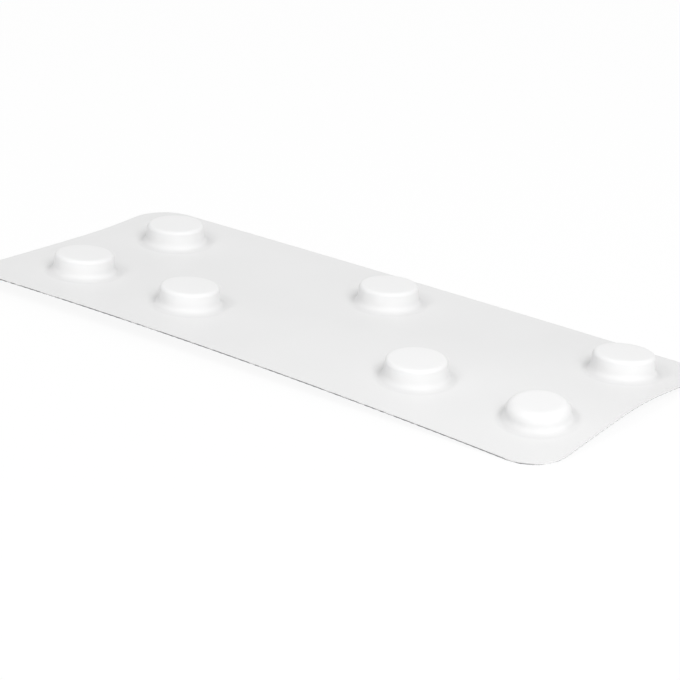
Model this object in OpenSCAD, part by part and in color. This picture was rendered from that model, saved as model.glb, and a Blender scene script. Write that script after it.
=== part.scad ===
// Blister pack: a white thermoformed film with sealed round pockets, closed below by a lidding foil.
// Millimetres. +X runs along the length, +Y from the near long edge to the far one, +Z up.
// The origin lies under the middle of the card, on the surface that the pack rests on.

/* [Pocket grid] */
// Columns of the pocket grid, an odd number
columns = 5; // [5:2:9]
// Distance between neighbouring columns
column_pitch = 22.4; // [18:0.1:30]
// Distance between the near row and the far row
row_pitch = 23.7; // [18:0.1:30]

/* [Margins] */
// From the left short edge to the middle of the first column
left_margin = 13.4; // [10:0.1:25]
// From the middle of the last column to the right short edge
right_margin = 9.5; // [9:0.1:25]
// From the near long edge to the middle of the near row
near_margin = 13.0; // [10:0.1:25]
// From the middle of the far row to the far long edge
far_margin = 11.8; // [9:0.1:25]
// Radius of the card's four corners in plan
corner_radius = 6.5; // [2:0.5:9]

/* [Pocket] */
// Diameter of a pocket at the foot of its wall
pocket_diameter = 10.0; // [8:0.1:12]
// Height of a pocket's flat top above the web
pocket_height = 3.3; // [2.8:0.1:6]
// Slope of a pocket's wall, so that it leaves the forming tool
wall_draft = 4.5; // [1:0.5:10]
// Radius of the rounded rim round a pocket's top
rim_radius = 0.7; // [0.3:0.05:1.2]
// Radius of the hollow fillet where a pocket's wall meets the web
foot_fillet = 1.3; // [0.6:0.05:1.5]

/* [Pressed pocket] */
// Height of the near row's last pocket, which is pressed in a little
pressed_height = 3.0; // [2.4:0.1:6]
// Radius of its softened rim
pressed_rim_radius = 1.6; // [0.3:0.05:2]

/* [Web] */
// Thickness of the formed film
film_thickness = 0.25; // [0.2:0.05:0.5]
// Thickness of the lidding foil with its heat-seal coat
foil_thickness = 0.06; // [0.03:0.01:0.15]

/* [Bend of the card] */
// Lift of the near left corner out of the card's middle plane
near_left_lift = 0.8; // [-4:0.1:4]
// Lift of the near right corner
near_right_lift = -3.0; // [-4:0.1:4]
// Lift of the far left corner
far_left_lift = 0.4; // [-4:0.1:4]
// Lift of the far right corner
far_right_lift = -0.9; // [-4:0.1:4]
// Where the soft fold along the card meets the left short edge, beyond the card's middle line
fold_left = 9.5; // [0:0.5:12]
// Where it meets the right short edge, beyond the middle line
fold_right = 3.0; // [0:0.5:12]
// Softness of the fold: the larger, the wider it is spread
fold_softness = 6.0; // [5:0.5:15]

/* [Hidden] */
$fn = 64;

film_white = "white";
foil_silver = "silver";

// Outline of the card in plan
card_length = left_margin + (columns - 1) * column_pitch + right_margin;
card_width = near_margin + row_pitch + far_margin;
half_length = card_length / 2;
half_width = card_width / 2;

// Places of the pockets: the near row leaves out the middle column, the far row every second one
middle_column = (columns - 1) / 2;
near_row_columns = [for (c = [0 : columns - 1]) if (c != middle_column) c];
far_row_columns = [for (c = [0 : 2 : columns - 1]) c];
near_row_y = near_margin - half_width;
far_row_y = near_row_y + row_pitch;
function column_x(c) = left_margin - half_length + c * column_pitch;
pressed_place = [column_x(columns - 1), near_row_y];
pocket_places = concat(
    [for (c = near_row_columns) if (c < columns - 1) [column_x(c), near_row_y]],
    [for (c = far_row_columns) [column_x(c), far_row_y]]
);

// The fold: its height over the plan, nothing on the middle line and 1 at the mean of both long edges
function softened(d) = sqrt(d * d + fold_softness * fold_softness);
function fold(y, at) =
    (softened(y - at) - softened(at))
    / ((softened(half_width - at) + softened(half_width + at)) / 2 - softened(at));

// The bend: each corner's lift fades out towards the card's two middle lines, which stay straight
function mix(a, b, t) = a + (b - a) * (t + 1) / 2;
function curl(x, y) =
    let (
        s = x / half_length,
        near = mix(-near_left_lift, near_right_lift, s),
        far = mix(-far_left_lift, far_right_lift, s),
        folded = (near + far) / 2,
        tilted = far - folded * mix(fold(half_width, fold_left), fold(half_width, fold_right), s)
    )
    s * (tilted * y / half_width + folded * mix(fold(y, fold_left), fold(y, fold_right), s));

// The pack rests on its near right corner, the right end of its far edge and the far end of its left edge
corner_inset = corner_radius * (1 - cos(45));
corner_centre_x = half_length - corner_radius;
corner_centre_y = half_width - corner_radius;
near_rest = [half_length - corner_inset, corner_inset - half_width];
far_rest = [corner_centre_x, half_width];
left_rest = [-half_length, corner_centre_y];
near_run = near_rest - left_rest;
far_run = far_rest - left_rest;
near_rise = curl(near_rest[0], near_rest[1]) - curl(left_rest[0], left_rest[1]);
far_rise = curl(far_rest[0], far_rest[1]) - curl(left_rest[0], left_rest[1]);
spread = near_run[0] * far_run[1] - near_run[1] * far_run[0];
slope_x = (near_rise * far_run[1] - far_rise * near_run[1]) / spread;
slope_y = (far_rise * near_run[0] - near_rise * far_run[0]) / spread;
function settled(x, y) = curl(x, y) - slope_x * x - slope_y * y;

// Rows of points across the card: arc rows in the corner zones and even rows between them
arc_steps = 7;
straight_steps = 14;
length_steps = 26;
arc_angles = [for (k = [0 : arc_steps]) 90 * k / arc_steps];
row_ys = concat(
    [for (a = arc_angles) -corner_centre_y - corner_radius * cos(a)],
    [for (k = [1 : straight_steps - 1]) corner_centre_y * (2 * k / straight_steps - 1)],
    [for (a = arc_angles) corner_centre_y + corner_radius * sin(a)]
);
row_reaches = concat(
    [for (a = arc_angles) corner_centre_x + corner_radius * sin(a)],
    [for (k = [1 : straight_steps - 1]) half_length],
    [for (a = arc_angles) corner_centre_x + corner_radius * cos(a)]
);
plan_points = [
    for (j = [0 : len(row_ys) - 1])
        for (i = [0 : length_steps])
            [row_reaches[j] * (2 * i / length_steps - 1), row_ys[j]]
];
lowest = min([for (p = plan_points) settled(p[0], p[1])]);

// Height of the foil's underside above the resting surface, and of the two faces above it
function underside_z(x, y) = settled(x, y) - lowest;
function seal_z(x, y) = underside_z(x, y) + foil_thickness;
function web_top_z(x, y) = seal_z(x, y) + film_thickness;

// A thin sheet that follows the bend, with its underside lifted by below and its top by above
module bent_sheet(below, above) {
    columns_of_points = length_steps + 1;
    rows_of_points = len(row_ys);
    layer = rows_of_points * columns_of_points;
    points = concat(
        [for (p = plan_points) [p[0], p[1], underside_z(p[0], p[1]) + below]],
        [for (p = plan_points) [p[0], p[1], underside_z(p[0], p[1]) + above]]
    );
    cells = [
        for (j = [0 : rows_of_points - 2])
            for (i = [0 : length_steps - 1])
                j * columns_of_points + i
    ];
    under_faces = [
        for (c = cells)
            for (f = [
                [c, c + 1, c + columns_of_points + 1],
                [c, c + columns_of_points + 1, c + columns_of_points]
            ]) f
    ];
    top_faces = [for (f = under_faces) [layer + f[2], layer + f[1], layer + f[0]]];
    last_row = layer - columns_of_points;
    rim_loop = concat(
        [for (i = [0 : length_steps]) i],
        [for (j = [1 : rows_of_points - 1]) (j + 1) * columns_of_points - 1],
        [for (i = [length_steps - 1 : -1 : 0]) last_row + i],
        [for (j = [rows_of_points - 2 : -1 : 1]) j * columns_of_points]
    );
    rim_faces = [
        for (k = [0 : len(rim_loop) - 1])
            let (a = rim_loop[k], b = rim_loop[(k + 1) % len(rim_loop)])
            for (f = [[b, a, layer + a], [b, layer + a, layer + b]]) f
    ];
    polyhedron(points, concat(under_faces, top_faces, rim_faces), convexity = 8);
}

// Half section of a pocket. Its foot sinks to the middle of the film, to cover the bend of the web
seat_depth = film_thickness / 2;
foot_tangent_z = foot_fillet * (1 - sin(wall_draft)) - seat_depth;
foot_radius = pocket_diameter / 2;
fillet_centre = [foot_radius + foot_fillet * cos(wall_draft), foot_fillet - seat_depth];

module pocket_section(height, rim) {
    rim_tangent_z = height - rim * (1 - sin(wall_draft));
    rim_tangent_radius = foot_radius - (rim_tangent_z - foot_tangent_z) * tan(wall_draft);
    rim_centre = [rim_tangent_radius - rim * cos(wall_draft), height - rim];
    difference() {
        polygon([
            [0, -seat_depth],
            [fillet_centre[0], -seat_depth],
            [foot_radius, foot_tangent_z],
            [rim_tangent_radius, rim_tangent_z],
            [rim_centre[0], height],
            [0, height]
        ]);
        translate(fillet_centre) circle(r = foot_fillet);
    }
    translate(rim_centre) circle(r = rim);
}

module pocket(height, rim) {
    rotate_extrude() pocket_section(height, rim);
}

// Seats its child on the web's top face at a place in plan, square to the web under a pocket's foot
seat_reach = foot_radius + foot_fillet;
module on_web(place) {
    left = web_top_z(place[0] - seat_reach, place[1]);
    right = web_top_z(place[0] + seat_reach, place[1]);
    near = web_top_z(place[0], place[1] - seat_reach);
    far = web_top_z(place[0], place[1] + seat_reach);
    translate([place[0], place[1], (left + right + near + far) / 4])
        rotate([atan((far - near) / (2 * seat_reach)), -atan((right - left) / (2 * seat_reach)), 0])
            children();
}

module formed_film() {
    color(film_white) {
        bent_sheet(foil_thickness, foil_thickness + film_thickness);
        for (place = pocket_places) on_web(place) pocket(pocket_height, rim_radius);
        on_web(pressed_place) pocket(pressed_height, pressed_rim_radius);
    }
}

module lidding_foil() {
    color(foil_silver) bent_sheet(0, foil_thickness);
}

formed_film();
lidding_foil();
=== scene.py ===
# %% [markdown]
# A blister pack of white formed film
#
# This lesson dresses one strip of tablets: a sheet of opaque white plastic with seven round
# pockets drawn into it, closed from below by a thin aluminium foil. A plain box with cylinders on
# it would look like a toy. What makes such a strip look real is small: the hollow fillet round
# each pocket, the slight bend of the card, and a white that changes a little with what lies under
# the film, with painted shade round each pocket's foot. Each of these gets a cell of its own.

import math

import bmesh
import bpy
from mathutils import Matrix, Vector


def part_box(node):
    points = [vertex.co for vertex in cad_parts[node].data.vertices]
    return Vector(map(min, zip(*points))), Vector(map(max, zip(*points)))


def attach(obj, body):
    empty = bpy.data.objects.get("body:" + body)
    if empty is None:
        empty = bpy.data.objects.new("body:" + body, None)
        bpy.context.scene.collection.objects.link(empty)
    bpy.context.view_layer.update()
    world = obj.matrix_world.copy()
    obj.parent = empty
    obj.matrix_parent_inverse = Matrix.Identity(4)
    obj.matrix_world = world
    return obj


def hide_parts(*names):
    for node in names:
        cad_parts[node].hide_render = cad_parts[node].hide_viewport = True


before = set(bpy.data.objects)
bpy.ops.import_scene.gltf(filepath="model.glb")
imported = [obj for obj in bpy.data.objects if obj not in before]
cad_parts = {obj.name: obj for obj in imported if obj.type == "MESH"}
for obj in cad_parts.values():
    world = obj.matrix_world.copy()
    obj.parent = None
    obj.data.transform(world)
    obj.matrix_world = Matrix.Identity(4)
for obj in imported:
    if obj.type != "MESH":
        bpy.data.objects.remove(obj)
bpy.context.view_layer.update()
print("nodes in the frame:", sorted(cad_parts))

# %% [markdown]
# The card and its pockets, in millimetres
#
# Small flat things are easier to build in millimetres, because Blender's tools snap and merge at
# distances that suit numbers of about that size. Each piece is scaled to metres once, when it is
# finished. The outline comes from the frame, so that the two can't drift apart.

# %% Sizes of the card
MM = 0.001
film_low, film_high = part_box("formed_film")
card_length = (film_high.x - film_low.x) / MM
card_width = (film_high.y - film_low.y) / MM
half_length = card_length / 2
half_width = card_width / 2
corner_radius = 6.5
film_thickness = 0.25
foil_thickness = 0.06
web_top = foil_thickness + film_thickness
print(f"card {card_length:.1f} x {card_width:.1f} mm, film {film_thickness} mm, foil {foil_thickness} mm")

# %% [markdown]
# The two rows of pockets
#
# The near row leaves out the middle column and the far row every second one. The last pocket of
# the near row was pressed in a little: it stands lower than the others and its rim is softer.

# %% Sizes and places of the pockets
columns = 5
column_pitch = 22.4
row_pitch = 23.7
left_margin = 13.4
near_margin = 13.0
foot_radius = 5.0
wall_draft = math.radians(4.5)
foot_fillet = 1.3
pocket_height, rim_radius = 3.3, 0.7
pressed_height, pressed_rim_radius = 3.0, 1.6

column_xs = [left_margin - half_length + c * column_pitch for c in range(columns)]
near_row_y = near_margin - half_width
far_row_y = near_row_y + row_pitch
middle_column = (columns - 1) // 2
near_row = [(x, near_row_y) for c, x in enumerate(column_xs) if c != middle_column]
far_row = [(x, far_row_y) for x in column_xs[::2]]
pocket_places = near_row + far_row
pressed_place = near_row[-1]
print(len(pocket_places), "pockets, the pressed one at", [round(c, 1) for c in pressed_place])

# %% [markdown]
# The bend of the card
#
# A strip of film and foil never lies quite flat. Each corner is lifted or lowered by its own
# amount, which fades out towards the card's two middle lines, and a soft fold runs along the card
# between its rows. A lattice or a simple-deform modifier could bend it too, but a formula can be
# shared by the solids and the dressed pieces, so that both have exactly the same bend.

# %% The bend as a height over the plan
near_left_lift = 0.8
near_right_lift = -3.0
far_left_lift = 0.4
far_right_lift = -0.9
fold_left = 9.5
fold_right = 3.0
fold_softness = 6.0


def fold(y, at):
    """The fold's height: nothing on the middle line and 1 at the mean of both long edges."""
    def softened(d):
        return math.hypot(d, fold_softness)
    edges = (softened(half_width - at) + softened(half_width + at)) / 2
    return (softened(y - at) - softened(at)) / (edges - softened(at))


def mix(a, b, t):
    """From a at t = -1 to b at t = 1."""
    return a + (b - a) * (t + 1) / 2


def curl(x, y):
    """The bend's height over a place of the plan."""
    s = x / half_length
    near = mix(-near_left_lift, near_right_lift, s)
    far = mix(-far_left_lift, far_right_lift, s)
    folded = (near + far) / 2
    tilted = far - folded * mix(fold(half_width, fold_left), fold(half_width, fold_right), s)
    return s * (tilted * y / half_width + folded * mix(fold(y, fold_left), fold(y, fold_right), s))


card_corners = [(x, y) for x in (-half_length, half_length) for y in (-half_width, half_width)]
print("bend at the corners:", [round(curl(x, y), 2) for x, y in card_corners], "mm")

# %% [markdown]
# Setting the card down
#
# The bent card touches the table at three places: its near right corner, the right end of its far
# edge and the far end of its left edge. The plane through these three is taken off the bend, which
# tips the card until it rests on them.

# %% The plane of the three rest points
corner_inset = corner_radius * (1 - math.cos(math.pi / 4))
corner_x, corner_y = half_length - corner_radius, half_width - corner_radius
near_rest = (half_length - corner_inset, corner_inset - half_width)
far_rest = (corner_x, half_width)
left_rest = (-half_length, corner_y)

rest_points = [Vector((x, y, curl(x, y))) for x, y in (near_rest, far_rest, left_rest)]
plane = (rest_points[0] - rest_points[2]).cross(rest_points[1] - rest_points[2])
slope_x, slope_y = -plane.x / plane.z, -plane.y / plane.z


def settled(x, y):
    """The bend's height once the card is tipped onto its rest points."""
    return curl(x, y) - slope_x * x - slope_y * y


print(f"the card tips {math.degrees(slope_y):.2f} degrees across and {math.degrees(slope_x):.2f} along")

# %% [markdown]
# Bending a point
#
# Every piece is modelled flat and bent at the very end, because the tools that cut and bevel work
# best on flat faces. A point keeps its place in plan, and its height on the flat model is laid off
# square to the bent card. Lifting it straight up would be simpler, but then the pockets would
# lean against the web that they stand on.

# %% Where a point of the flat model lands
def outline_points(steps=48):
    """Points round the card's outline in plan, where its lowest place must lie."""
    for k in range(steps + 1):
        a = math.pi / 2 * k / steps
        for side_x in (1, -1):
            for side_y in (1, -1):
                yield (
                    side_x * (corner_x + corner_radius * math.cos(a)),
                    side_y * (corner_y + corner_radius * math.sin(a)),
                )


lowest = min(settled(x, y) for x, y in outline_points())


def bent(point):
    """Where a point of the flat model lands when the card takes its bend."""
    x, y, height = point
    step = 0.5
    rise_x = (settled(x + step, y) - settled(x - step, y)) / (2 * step)
    rise_y = (settled(x, y + step) - settled(x, y - step)) / (2 * step)
    square_to_card = Vector((-rise_x, -rise_y, 1)).normalized()
    return Vector((x, y, settled(x, y) - lowest)) + square_to_card * height


print("the middle of the card's underside lands at", [round(c, 2) for c in bent((0, 0, 0))])

# %% [markdown]
# The flat blank
#
# Film and foil are cut together with one die, so both start as the same blank: a rounded
# rectangle of some thickness. It could be drawn as a curve and filled, but one grid face, a vertex
# bevel for the corners and a solidify give it with even steps round each corner.

# %% Cut the blank
def blank(low, high, corner_segments):
    """The die-cut blank between two heights."""
    bm = bmesh.new()
    bmesh.ops.create_grid(bm, x_segments=1, y_segments=1, size=0.5)
    bmesh.ops.scale(bm, vec=(card_length, card_width, 1), verts=bm.verts)
    bmesh.ops.bevel(
        bm, geom=bm.verts[:], offset=corner_radius, affect="VERTICES",
        segments=corner_segments, profile=0.5, material=-1,
    )
    bmesh.ops.solidify(bm, geom=bm.faces[:], thickness=high - low)
    shift = low - min(v.co.z for v in bm.verts)
    bmesh.ops.translate(bm, vec=(0, 0, shift), verts=bm.verts)
    bmesh.ops.recalc_face_normals(bm, faces=bm.faces[:])
    print(f"blank {high - low:.2f} mm thick, {len(bm.verts)} points")
    return bm


# %% [markdown]
# Lines across the blank
#
# A face without points inside it can't bend. Plane cuts lay lines of vertices across the blank,
# exactly where a pocket or a mark needs them. A ready-made fine grid would be quicker, but it
# can't place its lines so.

# %% Cut lines across the blank
def cut_lines(bm, places, axis):
    """Cuts the blank with planes square to one axis."""
    for place in places:
        point, normal = [0, 0, 0], [0, 0, 0]
        point[axis], normal[axis] = place, 1
        bmesh.ops.bisect_plane(
            bm, geom=bm.verts[:] + bm.edges[:] + bm.faces[:], dist=0.002,
            plane_co=point, plane_no=normal,
        )
    print(f"{len(places)} cuts square to {'xyz'[axis]}, {len(bm.faces)} faces")


def spaced(start, end, count):
    """Places that divide a stretch evenly, both of its ends among them."""
    return [start + (end - start) * k / count for k in range(count + 1)]


# %% [markdown]
# What the shader needs to know
#
# Once the card is bent, its coordinates no longer tell how high a point stood on the flat model,
# or how near it is to a pocket. Both are stored on the vertices before the bend, as attributes.
# The shader reads them by name, and they need no unwrapping.

# %% Bend a flat model and make it an object
def finish_piece(bm, name):
    """Stores the attributes, bends the flat model, scales it to metres and makes it an object."""
    height = bm.verts.layers.float.new("flat_height")
    to_pocket = bm.verts.layers.float.new("to_pocket")
    for v in bm.verts:
        v[height] = v.co.z
        v[to_pocket] = min(math.hypot(v.co.x - x, v.co.y - y) for x, y in pocket_places)
        v.co = bent(v.co)
    bmesh.ops.scale(bm, vec=(MM, MM, MM), verts=bm.verts)
    bmesh.ops.recalc_face_normals(bm, faces=bm.faces[:])
    mesh = bpy.data.meshes.new(name)
    bm.to_mesh(mesh)
    bm.free()
    mesh.shade_smooth()
    mesh.set_sharp_from_angle(angle=math.radians(40))
    piece = bpy.data.objects.new(name, mesh)
    bpy.context.scene.collection.objects.link(piece)
    print(f"{name}: {len(mesh.polygons)} faces")
    return piece


# %% [markdown]
# The pockets
#
# A pocket is drawn into the hot film by a round plug, so it is a figure of revolution: a flat
# top, a rim rounded by the plug, a wall with a little draft, and a wide hollow fillet where the
# film ran over the edge of the die. A few points give its half section, and spin turns it. The
# radii could be drawn into the section as arcs. Two bevels on the turned rings put them in with
# less to work out, convex at the rim and hollow at the foot.

# %% Find and round a ring of a pocket
turn_steps = 64
foot_corner = foot_radius + foot_fillet * (1 - math.sin(wall_draft)) * math.tan(wall_draft)


def ring_edges(bm, centre, radius, height):
    """The edges that run round a pocket at one radius and height."""
    def on_ring(v):
        away = math.hypot(v.co.x - centre[0], v.co.y - centre[1])
        return abs(away - radius) < 0.01 and abs(v.co.z - height) < 0.01
    return [e for e in bm.edges if all(on_ring(v) for v in e.verts)]


def round_ring(bm, centre, radius, height, bend_radius, segments=8):
    """Rounds the corner that runs round a pocket at one radius and height."""
    turn = math.pi / 2 - wall_draft
    bmesh.ops.bevel(
        bm, geom=ring_edges(bm, centre, radius, height), affect="EDGES",
        offset=bend_radius * math.tan(turn / 2), segments=segments, profile=0.5, material=-1,
    )


print(f"the wall meets the web {foot_corner:.3f} mm from a pocket's middle")

# %% [markdown]
# Opening the web
#
# A pocket takes the place of a square of the web. Only the top side of the square is taken out.
# The film's flat underside stays, because the sealed pocket is one solid with what it holds.

# %% Open the web for a pocket
patch_half = 7.6


def open_patch(bm, centre):
    """Takes the web's top out of a square round a pocket, and gives the edges of the opening."""
    def inside(f):
        middle = f.calc_center_median()
        return max(abs(middle.x - centre[0]), abs(middle.y - centre[1])) < patch_half
    patch = [f for f in bm.faces if f.normal.z > 0.9 and inside(f)]
    bmesh.ops.delete(bm, geom=patch, context="FACES")
    return [e for e in bm.edges if e.is_boundary]


print(f"each opening is {2 * patch_half:.1f} mm square")

# %% [markdown]
# Drawing one pocket
#
# The half section is spun next to the opening, a cap closes the small ring that is left in the
# middle, and a bridge joins the outer ring to the square. The two bevels come last, when every
# face is joined. The spin goes clockwise, so that its faces look outwards. The bridge reads the
# faces' direction, and pairs the two loops wrongly when one side looks inwards.

# %% One pocket, flat on the blank
join_radius = 6.8
top_rings = (0.6, 0.3)


def add_pocket(bm, centre, height, rim):
    """Draws one pocket into the blank's top, with its two rounded corners."""
    x, y = centre
    opening = open_patch(bm, centre)
    top = web_top + height
    rim_corner = foot_corner - height * math.tan(wall_draft)
    section = [(join_radius, web_top), (foot_corner, web_top), (rim_corner, top)]
    section += [(rim_corner * share, top) for share in top_rings]
    verts = [bm.verts.new((x + r, y, z)) for r, z in section]
    edges = [bm.edges.new(pair) for pair in zip(verts, verts[1:])]
    bmesh.ops.spin(
        bm, geom=verts + edges, cent=(x, y, 0), axis=(0, 0, 1),
        angle=-2 * math.pi, steps=turn_steps, use_merge=True,
    )
    bmesh.ops.contextual_create(bm, geom=ring_edges(bm, centre, *section[-1]))
    bmesh.ops.bridge_loops(bm, edges=opening + ring_edges(bm, centre, join_radius, web_top))
    round_ring(bm, centre, foot_corner, web_top, foot_fillet)
    round_ring(bm, centre, rim_corner, top, rim)
    print(f"pocket at {x:.1f}, {y:.1f}, {height} mm high")


# %% [markdown]
# The formed film
#
# The blank gets a square of sixteen by sixteen cells round each pocket, so that the square's rim
# has as many edges as a turned pocket, and the two bridge edge by edge. A boolean union would
# join them as well, but it leaves long thin faces that shade badly on a glossy sheet.

# %% Build the film
def lines_round_patches(centres, low, high, gap_cells=5):
    """Cut places over one direction: fine across each patch, wider between them."""
    stops = [low] + [c + side * patch_half for c in centres for side in (-1, 1)] + [high]
    places = []
    for k, (start, end) in enumerate(zip(stops, stops[1:])):
        places += spaced(start, end, turn_steps // 4 if k % 2 else gap_cells)[1:]
    return places[:-1]


film_bm = blank(foil_thickness, web_top, corner_segments=16)
cut_lines(film_bm, lines_round_patches(column_xs, -half_length, half_length), axis=0)
cut_lines(film_bm, lines_round_patches([near_row_y, far_row_y], -half_width, half_width), axis=1)
for place in pocket_places:
    if place == pressed_place:
        add_pocket(film_bm, place, pressed_height, pressed_rim_radius)
    else:
        add_pocket(film_bm, place, pocket_height, rim_radius)
film = finish_piece(film_bm, "white_film")

# %% [markdown]
# The knurl of the lidding foil
#
# The sealing plate presses a fine knurl into the foil wherever it lies on the film. Over a pocket
# there is nothing to press against, so the foil stays smooth there, in a disc as wide as the
# pocket's mouth. A bump map could draw the knurl, but not the crinkled line it makes of the cut
# edge. Here it is real: every second crossing of a fine cut grid is pushed up.

# %% Where the knurl is pressed
knurl_step = 0.7
knurl_depth = 0.045
mouth_radius = foot_radius + foot_fillet * 0.6
mouth_lift = knurl_depth * 0.6


def knurl_lift(x, y):
    """How far the underside is pressed up towards the film at a place."""
    nearest = min(math.hypot(x - px, y - py) for px, py in pocket_places)
    if nearest < mouth_radius:
        return mouth_lift
    crossing = round(x / knurl_step) + round(y / knurl_step)
    return knurl_depth if crossing % 2 else 0.0


def knurl_lines(half):
    """Cut places over one direction, a knurl step apart and the same to both sides."""
    count = int(half / knurl_step)
    return [k * knurl_step for k in range(-count, count + 1)]


print(f"knurl {knurl_depth} mm deep every {knurl_step} mm, smooth within {mouth_radius:.2f} mm of a pocket")

# %% [markdown]
# The lidding foil
#
# The foil is cut with the film, so it starts from the same blank. Only the points of its
# underside move: its upper side lies flat against the film, as the heat seal holds it.

# %% Build the foil
foil_bm = blank(0, foil_thickness, corner_segments=12)
cut_lines(foil_bm, knurl_lines(half_width), axis=1)
cut_lines(foil_bm, knurl_lines(half_length), axis=0)
for v in foil_bm.verts:
    if v.co.z < foil_thickness / 2:
        v.co.z += knurl_lift(v.co.x, v.co.y)
foil = finish_piece(foil_bm, "foil_web")

# %% [markdown]
# Shared parts of the two finishes
#
# Both finishes vary a little over the sheet. A node group makes that variation once: it takes the
# point, a noise scale and two values, and gives a value between them. Groups of this kind carry
# values only, and each material keeps its own shader.

# %% A node group for slow variation
def variation_group():
    """Builds the group that lets a value wander between two ends over a piece."""
    group = bpy.data.node_groups.new("slow_variation", "ShaderNodeTree")
    socket = group.interface.new_socket
    socket("Point", in_out="INPUT", socket_type="NodeSocketVector")
    for name in ("Scale", "Low", "High"):
        socket(name, in_out="INPUT", socket_type="NodeSocketFloat")
    socket("Value", in_out="OUTPUT", socket_type="NodeSocketFloat")
    nodes, links = group.nodes, group.links
    given, result = nodes.new("NodeGroupInput"), nodes.new("NodeGroupOutput")
    noise = nodes.new("ShaderNodeTexNoise")
    noise.inputs["Detail"].default_value = 3.0
    spread = nodes.new("ShaderNodeMapRange")
    spread.inputs["From Min"].default_value = 0.3
    spread.inputs["From Max"].default_value = 0.7
    links.new(given.outputs["Point"], noise.inputs["Vector"])
    links.new(given.outputs["Scale"], noise.inputs["Scale"])
    links.new(noise.outputs["Fac"], spread.inputs["Value"])
    links.new(given.outputs["Low"], spread.inputs["To Min"])
    links.new(given.outputs["High"], spread.inputs["To Max"])
    links.new(spread.outputs["Result"], result.inputs["Value"])
    return group


slow_variation = variation_group()
print("group sockets:", [item.name for item in slow_variation.interface.items_tree])

# %% [markdown]
# Helpers for the node trees
#
# A material is wired from the same few steps again and again: read an attribute, turn it into
# another range, multiply two values, blend two colours. Wiring each by hand works too, but short
# helpers keep each finish readable as a list of decisions.

# %% Start a material and read from the mesh
def new_material(name):
    """A new material, its node tree and its shader."""
    material = bpy.data.materials.new(name)
    material.use_nodes = True
    tree = material.node_tree
    print("material", name)
    return material, tree, tree.nodes["Principled BSDF"]


def object_point(tree):
    """The place on the piece, in metres, that patterns follow."""
    return tree.nodes.new("ShaderNodeTexCoord").outputs["Object"]


def attribute(tree, name):
    """A value that the mesh carries on its vertices."""
    node = tree.nodes.new("ShaderNodeAttribute")
    node.attribute_name = name
    return node.outputs["Fac"]


def varied(tree, point, scale, low=0.0, high=1.0):
    """A value that wanders between two ends over the piece."""
    node = tree.nodes.new("ShaderNodeGroup")
    node.node_tree = slow_variation
    node.inputs["Scale"].default_value = scale
    node.inputs["Low"].default_value = low
    node.inputs["High"].default_value = high
    tree.links.new(point, node.inputs["Point"])
    return node.outputs["Value"]


# %% [markdown]
# Turning one value into another
#
# A range that starts and ends smoothly leaves no visible line on a surface. A colour ramp could
# do the same, but a map range keeps its four limits as plain numbers.

# %% Turn, multiply and blend
def ramped(tree, value, start, end, low=0.0, high=1.0):
    """Turns a value between two limits into another range, smoothly at both ends."""
    node = tree.nodes.new("ShaderNodeMapRange")
    node.interpolation_type = "SMOOTHSTEP"
    node.inputs["From Min"].default_value = start
    node.inputs["From Max"].default_value = end
    node.inputs["To Min"].default_value = low
    node.inputs["To Max"].default_value = high
    tree.links.new(value, node.inputs["Value"])
    return node.outputs["Result"]


def calculated(tree, operation, a, b):
    """One calculation on two values, each a socket or a number."""
    node = tree.nodes.new("ShaderNodeMath")
    node.operation = operation
    for socket, end in zip(node.inputs, (a, b)):
        if isinstance(end, float):
            socket.default_value = end
        else:
            tree.links.new(end, socket)
    return node.outputs["Value"]


def blended(tree, share, a, b):
    """A colour that goes from one to another with a share. Each end is a colour or a socket."""
    node = tree.nodes.new("ShaderNodeMix")
    node.data_type = "RGBA"
    for name, end in (("A", a), ("B", b)):
        socket = next(s for s in node.inputs if s.name == name and s.type == "RGBA")
        if isinstance(end, tuple):
            socket.default_value = (*end, 1)
        else:
            tree.links.new(end, socket)
    tree.links.new(share, node.inputs["Factor"])
    return next(s for s in node.outputs if s.type == "RGBA")


# %% [markdown]
# The white of the film
#
# White film isn't quite opaque. Over the grey foil it looks a touch darker, and over a white
# tablet a touch lighter, so the pockets stand out from the web before any light falls on them.
# Light that scatters inside the film could be rendered, but it is slow and noisy in so thin a
# sheet. Round a pocket's foot the white is darkest: painted shade in the hollow fillet. The distance
# to the nearest pocket, which the mesh carries, puts these rings of tone where they belong.

# %% Tones of the film
white_over_foil, paler_over_foil = (0.79, 0.79, 0.79), (0.81, 0.81, 0.81)
# painted shade: a darker white in the hollow fillet round each pocket's foot
white_in_foot_shade = (0.76, 0.76, 0.76)
white_over_tablet = (0.86, 0.86, 0.86)
foot_shade_starts, foot_shade_full = 6.9, 6.0
nears_tablet, on_tablet = 5.7, 5.0


def film_white(tree, point, from_pocket):
    """The film's colour, by its distance from the nearest pocket's middle, with painted shade round the foot.
    """
    over_foil = blended(tree, varied(tree, point, scale=45), white_over_foil, paler_over_foil)
    # painted shade in the hollow fillet round the pocket's foot
    foot_shade_share = ramped(tree, from_pocket, foot_shade_starts, foot_shade_full)
    web_tone = blended(tree, foot_shade_share, over_foil, white_in_foot_shade)
    over_tablet = ramped(tree, from_pocket, nears_tablet, on_tablet)
    return blended(tree, over_tablet, web_tone, white_over_tablet)


print(f"darkest white {white_in_foot_shade[0]}, lightest {white_over_tablet[0]}")

# %% [markdown]
# The smeared and shaded edge
#
# The die that cuts the card smears the foil up its near long edge, and short grey dashes stay
# along the lower side of the film. They are partly that smear and partly painted shade of the gap
# beneath the lifted near edge. An even dark line would look drawn, so a fine noise breaks it up.
# The dashes fade out as the edge turns into a corner.

# %% Dashes along the near long edge
# partly the foil's smear, partly painted shade of the gap under the lifted near edge
smear_and_shade_grey = (0.16, 0.16, 0.17)
smear_and_shade_top, smear_and_shade_full = 0.24, 0.12
fades_out = (corner_radius * 0.4 - half_width) * MM
fades_in = (corner_radius * 0.1 - half_width) * MM


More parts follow.
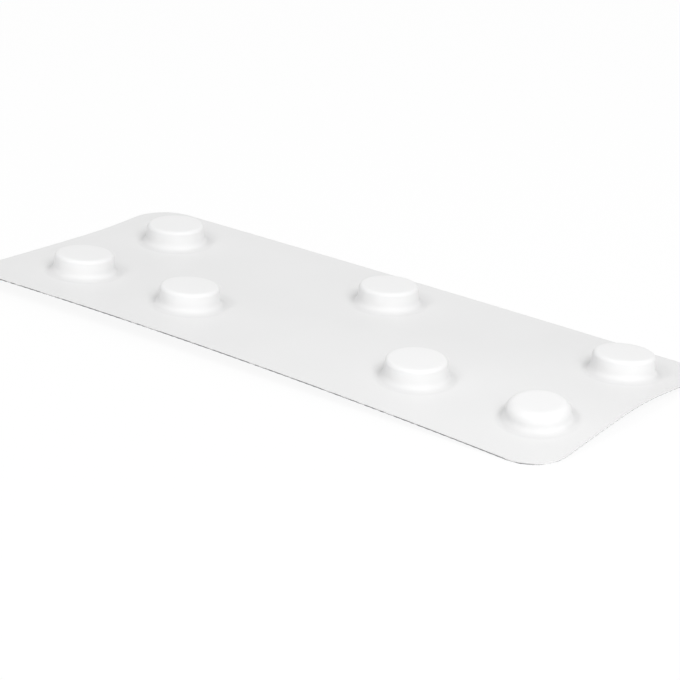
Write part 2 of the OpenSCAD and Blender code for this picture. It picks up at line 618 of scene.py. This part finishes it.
def smear_and_shade_share(tree, point):
    """The share of smeared foil and painted shade on the film's near long edge."""
    low_on_edge = ramped(tree, attribute(tree, "flat_height"), smear_and_shade_top, smear_and_shade_full)
    dashes = ramped(tree, varied(tree, point, scale=500), 0.2, 0.6, low=0.3, high=1.0)
    parts = tree.nodes.new("ShaderNodeSeparateXYZ")
    tree.links.new(point, parts.inputs["Vector"])
    near_edge = ramped(tree, parts.outputs["Y"], fades_out, fades_in)
    return calculated(tree, "MULTIPLY", calculated(tree, "MULTIPLY", low_on_edge, dashes), near_edge)


print(f"dashes up to {smear_and_shade_top - foil_thickness:.2f} mm above the foil")

# %% [markdown]
# The gloss of the film
#
# The sealing plate leaves the web smoother than hot drawing leaves the pockets, so the pockets
# are duller. A trace of sharper gloss lies over both and gives the rounded rims their small
# glints. A lower roughness alone would give the glints too, but it would also turn the broad soft
# sheen of the web into a mirror. A coat has a roughness of its own and leaves that sheen alone.

# %% Gloss and skin of the film
pressed_smooth = 0.37, 0.41
drawn_dull = 1.6
undrawn, fully_drawn = 6.6, 5.4


def film_gloss(tree, shader, point, from_pocket):
    """Wires the film's roughness, its thin coat and the fine unevenness of its skin."""
    smooth = varied(tree, point, 180, *pressed_smooth)
    drawn = ramped(tree, from_pocket, undrawn, fully_drawn, low=1.0, high=drawn_dull)
    tree.links.new(calculated(tree, "MULTIPLY", smooth, drawn), shader.inputs["Roughness"])
    shader.inputs["Specular IOR Level"].default_value = 0.4
    shader.inputs["Coat Weight"].default_value = 0.04
    shader.inputs["Coat Roughness"].default_value = 0.12
    skin = tree.nodes.new("ShaderNodeBump")
    skin.inputs["Strength"].default_value = 0.15
    skin.inputs["Distance"].default_value = 0.03 * MM
    tree.links.new(varied(tree, point, scale=700), skin.inputs["Height"])
    tree.links.new(skin.outputs["Normal"], shader.inputs["Normal"])


print(f"roughness {pressed_smooth[0]} to {pressed_smooth[1]} on the web, {drawn_dull} times that on a pocket")

# %% [markdown]
# The finish of the film, put together
#
# The three decisions above meet in one material. It could be three materials on three groups of
# faces, but their borders would show, and one material can fade from one tone into the next.

# %% White film
def white_film_material():
    """White formed film with its tones and painted shade, its smeared and shaded edge and its gloss."""
    material, tree, shader = new_material("white_film")
    point = object_point(tree)
    from_pocket = attribute(tree, "to_pocket")
    tone = blended(tree, smear_and_shade_share(tree, point), film_white(tree, point, from_pocket), smear_and_shade_grey)
    tree.links.new(tone, shader.inputs["Base Color"])
    film_gloss(tree, shader, point, from_pocket)
    return material


film.data.materials.append(white_film_material())
print("film nodes:", len(film.data.materials[0].node_tree.nodes))

# %% [markdown]
# The finish of the foil
#
# Seen from below, the foil is plain soft aluminium with a dull lacquer. The knurl's dents get a
# darker tone, painted shade that lets the knurl show. The cut edge is darker still: the shear
# leaves it rough and no lacquer covers it, and painted shade of its narrow gap to the table darkens
# it further. A mask could darken the edge too, but it has faces of its own, so it simply gets a
# second material.

# %% Lidding foil
aluminium, paler_aluminium = (0.76, 0.76, 0.77), (0.81, 0.81, 0.82)
# painted shade in the knurl's dents
painted_dent_shade = (0.6, 0.6, 0.61)
# the cut edge's dark grey: rough bare metal plus painted shade of its gap to the table
sheared_and_shaded_dark, sheared_and_shaded_pale = (0.07, 0.07, 0.07), (0.22, 0.22, 0.23)


def foil_material():
    """Soft aluminium with a dull lacquer, and painted shade in the knurl's dents."""
    material, tree, shader = new_material("lidding_foil")
    point = object_point(tree)
    shader.inputs["Metallic"].default_value = 1.0
    sheet = blended(tree, varied(tree, point, scale=60), aluminium, paler_aluminium)
    # the pushed-up dents of the knurl get painted shade
    in_dent = ramped(tree, attribute(tree, "flat_height"), 0.0, knurl_depth)
    tree.links.new(blended(tree, in_dent, sheet, painted_dent_shade), shader.inputs["Base Color"])
    tree.links.new(varied(tree, point, 250, low=0.28, high=0.38), shader.inputs["Roughness"])
    return material


def foil_edge_material():
    """The rough sheared edge of the foil, with painted shade that darkens it further."""
    material, tree, shader = new_material("foil_edge")
    rough = varied(tree, object_point(tree), scale=500)
    # sheared edge tone with painted shade
    sheared_and_shaded = blended(tree, rough, sheared_and_shaded_dark, sheared_and_shaded_pale)
    tree.links.new(sheared_and_shaded, shader.inputs["Base Color"])
    shader.inputs["Roughness"].default_value = 0.7
    return material


foil.data.materials.append(foil_material())
foil.data.materials.append(foil_edge_material())
for face in foil.data.polygons:
    face.material_index = 1 if abs(face.normal.z) < 0.5 else 0
print("foil edge faces:", sum(f.material_index for f in foil.data.polygons))

# %% [markdown]
# Who rides on what
#
# Both pieces stand for a solid of the frame, which is hidden. Nothing on the pack moves, so both
# ride on the root.

# %% Tie the pieces to the frame
for piece, node, slot in ((film, "formed_film", "white_film"), (foil, "lidding_foil", "lidding_foil")):
    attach(piece, "root")
    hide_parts(node)
    print(piece.name, "stands for", node)

# %% [markdown]
# The camera
#
# A long lens a good way off keeps the card's edges almost parallel. The view is turned a little
# about its own axis, as a hand-held product shot is. A tracking constraint could aim the camera,
# but one matrix from its direction, distance and roll says all of it at once.

# %% Camera
view_azimuth = math.radians(-35.97)
view_elevation = math.radians(22.29)
view_roll = math.radians(2.11)
view_distance = 0.4867
view_aim = Vector((4.0, -3.25, 0)) * MM

looking = Vector((
    math.sin(view_azimuth) * math.cos(view_elevation),
    math.cos(view_azimuth) * math.cos(view_elevation),
    -math.sin(view_elevation),
))
camera_data = bpy.data.cameras.new("camera")
camera_data.lens = 162.4
camera_data.clip_start = 0.01
camera = bpy.data.objects.new("camera", camera_data)
camera.matrix_world = (
    Matrix.Translation(view_aim - looking * view_distance)
    @ looking.to_track_quat("-Z", "Y").to_matrix().to_4x4()
    @ Matrix.Rotation(view_roll, 4, "Z")
)
bpy.context.scene.collection.objects.link(camera)
bpy.context.scene.camera = camera
bpy.context.scene.view_settings.view_transform = "Standard"
print(f"lens {camera_data.lens:.1f} mm at {view_distance:.3f} m")

# %% [markdown]
# The floor
#
# The pack lies on plain white. More light would turn a lit floor white too, but it would wash out
# the pack as well. So the floor glows white towards the camera and towards reflections, and keeps
# a small share of its own shading, which holds the pack's soft shadow.

# %% White floor
floor_reach = 3.0
glow_share = 0.88


def floor_material():
    """A pale floor that glows white towards the camera and in reflections."""
    material, tree, shader = new_material("white_floor")
    shader.inputs["Base Color"].default_value = (0.95, 0.95, 0.95, 1)
    shader.inputs["Roughness"].default_value = 0.9
    white = tree.nodes.new("ShaderNodeEmission")
    path = tree.nodes.new("ShaderNodeLightPath")
    seen = path.outputs["Is Camera Ray"]
    for kind in ("Is Glossy Ray", "Is Transmission Ray"):
        seen = calculated(tree, "MAXIMUM", seen, path.outputs[kind])
    blend = tree.nodes.new("ShaderNodeMixShader")
    tree.links.new(calculated(tree, "MULTIPLY", seen, glow_share), blend.inputs["Fac"])
    tree.links.new(shader.outputs["BSDF"], blend.inputs[1])
    tree.links.new(white.outputs["Emission"], blend.inputs[2])
    tree.links.new(blend.outputs["Shader"], tree.nodes["Material Output"].inputs["Surface"])
    return material


floor_bm = bmesh.new()
bmesh.ops.create_grid(floor_bm, x_segments=1, y_segments=1, size=floor_reach)
floor_mesh = bpy.data.meshes.new("floor")
floor_bm.to_mesh(floor_mesh)
floor_bm.free()
floor = bpy.data.objects.new("floor", floor_mesh)
bpy.context.scene.collection.objects.link(floor)
floor.data.materials.append(floor_material())
print(f"floor {2 * floor_reach:.0f} m square")

# %% [markdown]
# The sky
#
# The sky gives most of the light, as a light tent does. In an even sky, white on white loses its
# shape. So the sky is darker towards both sides of the card, as if black cards stood there, and
# the fillets that look that way turn darker and draw the sides of the pockets. The card's own
# surfaces keep their plain white, so other lights can be put on it.

# %% Sky
sky_ahead = 0.76
sky_aside = 0.4

world = bpy.data.worlds.new("studio")
bpy.context.scene.world = world
world.use_nodes = True
sky_tree = world.node_tree
sideways = sky_tree.nodes.new("ShaderNodeVectorMath")
sideways.operation = "DOT_PRODUCT"
sideways.inputs[1].default_value = (math.cos(view_azimuth), -math.sin(view_azimuth), 0)
direction = sky_tree.nodes.new("ShaderNodeTexCoord").outputs["Generated"]
sky_tree.links.new(direction, sideways.inputs[0])
squared = calculated(sky_tree, "MULTIPLY", sideways.outputs["Value"], sideways.outputs["Value"])
sky = sky_tree.nodes["Background"]
sky.inputs["Color"].default_value = (1, 1, 1, 1)
sky_tree.links.new(ramped(sky_tree, squared, 0, 1, sky_ahead, sky_aside), sky.inputs["Strength"])
print(f"sky {sky_ahead} ahead and overhead, {sky_aside} at the sides")

# %% [markdown]
# The lamps
#
# Two soft lamps stand in front, one to either side of the camera, and lift what faces it: the
# pockets' walls turn lighter than their surroundings, while the fillets to their left and right,
# which face neither lamp, stay darker. Each lamp leaves a small glint on the rounded rims. One
# large lamp would light the walls as well, but it would leave no glints.

# %% Lamps
def soft_lamp(name, swing, height_angle, distance, size, watts):
    """A round lamp, placed by its swing from the camera's side and its height angle."""
    around = view_azimuth - math.radians(swing)
    rise = math.radians(height_angle)
    place = Vector((
        -math.sin(around) * math.cos(rise), -math.cos(around) * math.cos(rise), math.sin(rise)
    )) * distance
    data = bpy.data.lights.new(name, "AREA")
    data.shape = "DISK"
    data.size = size
    data.energy = watts
    lamp = bpy.data.objects.new(name, data)
    lamp.location = place
    lamp.rotation_euler = (-place).to_track_quat("-Z", "Y").to_euler()
    bpy.context.scene.collection.objects.link(lamp)
    print(name, "at", [round(c, 2) for c in place])


soft_lamp("right_lamp", swing=30, height_angle=45, distance=0.9, size=0.4, watts=3.4)
soft_lamp("left_lamp", swing=-54, height_angle=45, distance=0.9, size=0.2, watts=1.0)
